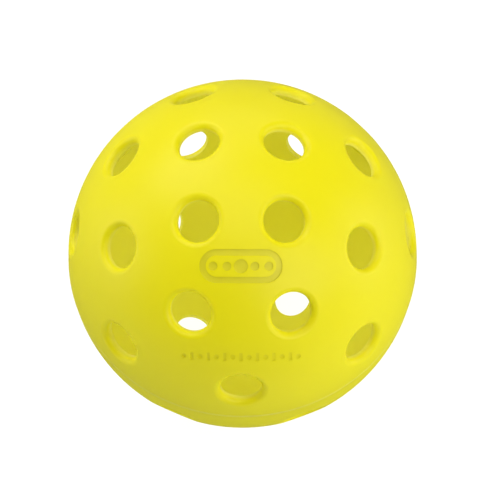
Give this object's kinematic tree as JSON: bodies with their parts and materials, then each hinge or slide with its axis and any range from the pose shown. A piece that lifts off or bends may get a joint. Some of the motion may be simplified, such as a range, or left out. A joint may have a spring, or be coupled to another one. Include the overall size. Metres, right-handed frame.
{
  "type": "pickleball",
  "caption": "Hollow outdoor pickleball, moulded as half shells welded along a fine seam, with rings of round rimmed vent holes and shallow moulded marks.",
  "frame": {"origin": "centre of the ball", "axes": "+Z along the moulding axis, from the plain half towards the pole of the marked half; the weld seam lies in the XY plane; +X along the marks, from their left end to their right as read; the marks sit on the -Y side of the pole and +Y is their upward side"},
  "size_m": [0.0742, 0.0742, 0.074],
  "materials": {
    "shell": "satin moulded polyethylene",
    "weld": "satin remelted polyethylene"
  },
  "bodies": {
    "root": {"marked_half_shell": "shell", "plain_half_shell": "shell", "seam_weld": "weld"}
  },
  "joints": []
}
